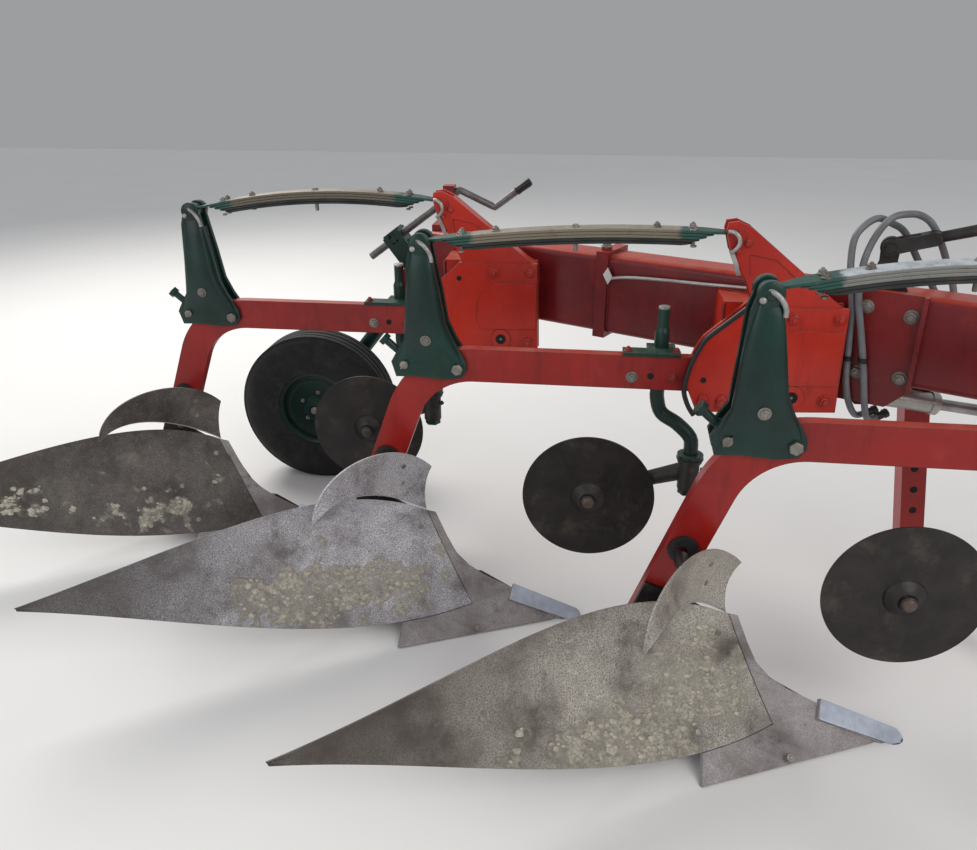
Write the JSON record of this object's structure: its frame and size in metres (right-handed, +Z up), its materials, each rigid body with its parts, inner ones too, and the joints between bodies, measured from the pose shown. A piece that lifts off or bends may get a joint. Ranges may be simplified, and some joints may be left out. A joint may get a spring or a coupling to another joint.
{
  "type": "mounted moldboard plough",
  "caption": "Tractor-mounted moldboard plough with leaf-spring reset legs, disc coulters, trash boards, depth wheel and parking stand.",
  "frame": {"origin": "on the floor under the middle of the whole plough's box", "axes": "+X in the direction of travel, +Y to the land side (left), +Z up"},
  "size_m": [4.0963, 2.074, 1.475],
  "materials": {
    "red_paint": "worn gloss",
    "green_paint": "worn gloss",
    "spring_steel": "worn",
    "worn_steel": "patinated",
    "dark_steel": "rusty",
    "bare_steel": "dull",
    "hose_rubber": "satin",
    "tyre_rubber": "matt"
  },
  "bodies": {
    "frame": {"frame_tube": "red_paint", "frame_joint": "red_paint", "head_plate": "red_paint", "headstock": "red_paint", "top_brace": "dark_steel", "trip_brackets": "red_paint", "wheel_bracket": "red_paint", "spindle": "bare_steel", "hoses": "hose_rubber", "spring_1": "spring_steel", "spring_2": "spring_steel", "spring_3": "spring_steel"},
    "cross_shaft": {"cross_shaft": "bare_steel"},
    "ram_barrel": {"ram_barrel": "bare_steel"},
    "ram_rod": {"ram_rod": "bare_steel"},
    "stand": {"stand": "red_paint"},
    "wheel_arm": {"wheel_arm": "green_paint"},
    "spindle_nut": {"spindle_nut": "green_paint"},
    "wheel": {"rim": "green_paint", "tyre": "tyre_rubber"},
    "leg_1": {"leg_1": "red_paint", "mast_1": "green_paint", "frog_1": "worn_steel", "moldboard_1": "worn_steel", "share_1": "worn_steel", "trash_board_1": "worn_steel", "coulter_stem_1": "green_paint"},
    "coulter_1": {"coulter_arm_1": "dark_steel"},
    "disc_1": {"disc_1": "dark_steel"},
    "leg_2": {"leg_2": "red_paint", "mast_2": "green_paint", "frog_2": "worn_steel", "moldboard_2": "worn_steel", "share_2": "worn_steel", "trash_board_2": "worn_steel", "coulter_stem_2": "green_paint"},
    "coulter_2": {"coulter_arm_2": "dark_steel"},
    "disc_2": {"disc_2": "dark_steel"},
    "leg_3": {"leg_3": "red_paint", "mast_3": "green_paint", "frog_3": "worn_steel", "moldboard_3": "worn_steel", "share_3": "worn_steel", "trash_board_3": "worn_steel", "coulter_stem_3": "green_paint"},
    "coulter_3": {"coulter_arm_3": "dark_steel"},
    "disc_3": {"disc_3": "dark_steel"}
  },
  "joints": [
    {"name": "cross_shaft_turn", "type": "hinge", "parent": "frame", "child": "cross_shaft", "pos_m": [1.988, -0.303, 0.76], "axis": [0, 1, 0], "range_deg": [-6, 6]},
    {"name": "ram_swing", "type": "hinge", "parent": "frame", "child": "ram_barrel", "pos_m": [1.026, 0.049, 0.77], "axis": [0, 1, 0], "range_deg": [-0.52, 0.52]},
    {"name": "ram_slide", "type": "slide", "parent": "ram_barrel", "child": "ram_rod", "axis": [0.9928, 0, -0.12], "range_m": [-0.012, 0.012]},
    {"name": "stand_slide", "type": "slide", "parent": "frame", "child": "stand", "axis": [-0.1513, 0, 0.9885], "range_m": [0, 0.35]},
    {"name": "wheel_depth", "type": "hinge", "parent": "frame", "child": "wheel_arm", "pos_m": [-0.374, 0.867, 0.89], "axis": [0, 1, 0], "range_deg": [-10, 12]},
    {"name": "nut_slide", "type": "slide", "parent": "frame", "child": "spindle_nut", "axis": [0.8049, 0, 0.5934], "range_m": [-0.028, 0.034]},
    {"name": "wheel_spin", "type": "hinge", "parent": "wheel_arm", "child": "wheel", "pos_m": [-0.83, 0.867, 0.31], "axis": [0, 1, 0], "continuous": true},
    {"name": "trip_1", "type": "hinge", "parent": "frame", "child": "leg_1", "pos_m": [1.679, -0.429, 0.778], "axis": [0, 1, 0], "range_deg": [0, 22], "stiffness_Nm_per_rad": 9000, "springref_deg": -34.38, "deforming": ["spring_1"]},
    {"name": "coulter_swivel_1", "type": "hinge", "parent": "leg_1", "child": "coulter_1", "pos_m": [1.432, -0.417, 0.5], "axis": [0, 0, 1], "range_deg": [-12, 12]},
    {"name": "disc_spin_1", "type": "hinge", "parent": "coulter_1", "child": "disc_1", "pos_m": [1.08, -0.417, 0.405], "axis": [0, 1, 0], "continuous": true},
    {"name": "trip_2", "type": "hinge", "parent": "frame", "child": "leg_2", "pos_m": [0.829, -0.004, 0.778], "axis": [0, 1, 0], "range_deg": [0, 22], "stiffness_Nm_per_rad": 9000, "springref_deg": -34.38, "deforming": ["spring_2"]},
    {"name": "coulter_swivel_2", "type": "hinge", "parent": "leg_2", "child": "coulter_2", "pos_m": [0.582, 0.008, 0.5], "axis": [0, 0, 1], "range_deg": [-12, 12]},
    {"name": "disc_spin_2", "type": "hinge", "parent": "coulter_2", "child": "disc_2", "pos_m": [0.29, 0.008, 0.405], "axis": [0, 1, 0], "continuous": true},
    {"name": "trip_3", "type": "hinge", "parent": "frame", "child": "leg_3", "pos_m": [-0.021, 0.421, 0.778], "axis": [0, 1, 0], "range_deg": [0, 22], "stiffness_Nm_per_rad": 9000, "springref_deg": -34.38, "deforming": ["spring_3"]},
    {"name": "coulter_swivel_3", "type": "hinge", "parent": "leg_3", "child": "coulter_3", "pos_m": [-0.268, 0.433, 0.5], "axis": [0, 0, 1], "range_deg": [-12, 12]},
    {"name": "disc_spin_3", "type": "hinge", "parent": "coulter_3", "child": "disc_3", "pos_m": [-0.506, 0.433, 0.405], "axis": [0, 1, 0], "continuous": true}
  ],
  "couplings": [
    {"joint": "ram_swing", "follows": "cross_shaft_turn", "ratio": -0.08249},
    {"joint": "ram_slide", "follows": "cross_shaft_turn", "m_per_rad": -0.10551},
    {"joint": "nut_slide", "follows": "wheel_depth", "m_per_rad": 0.156}
  ]
}
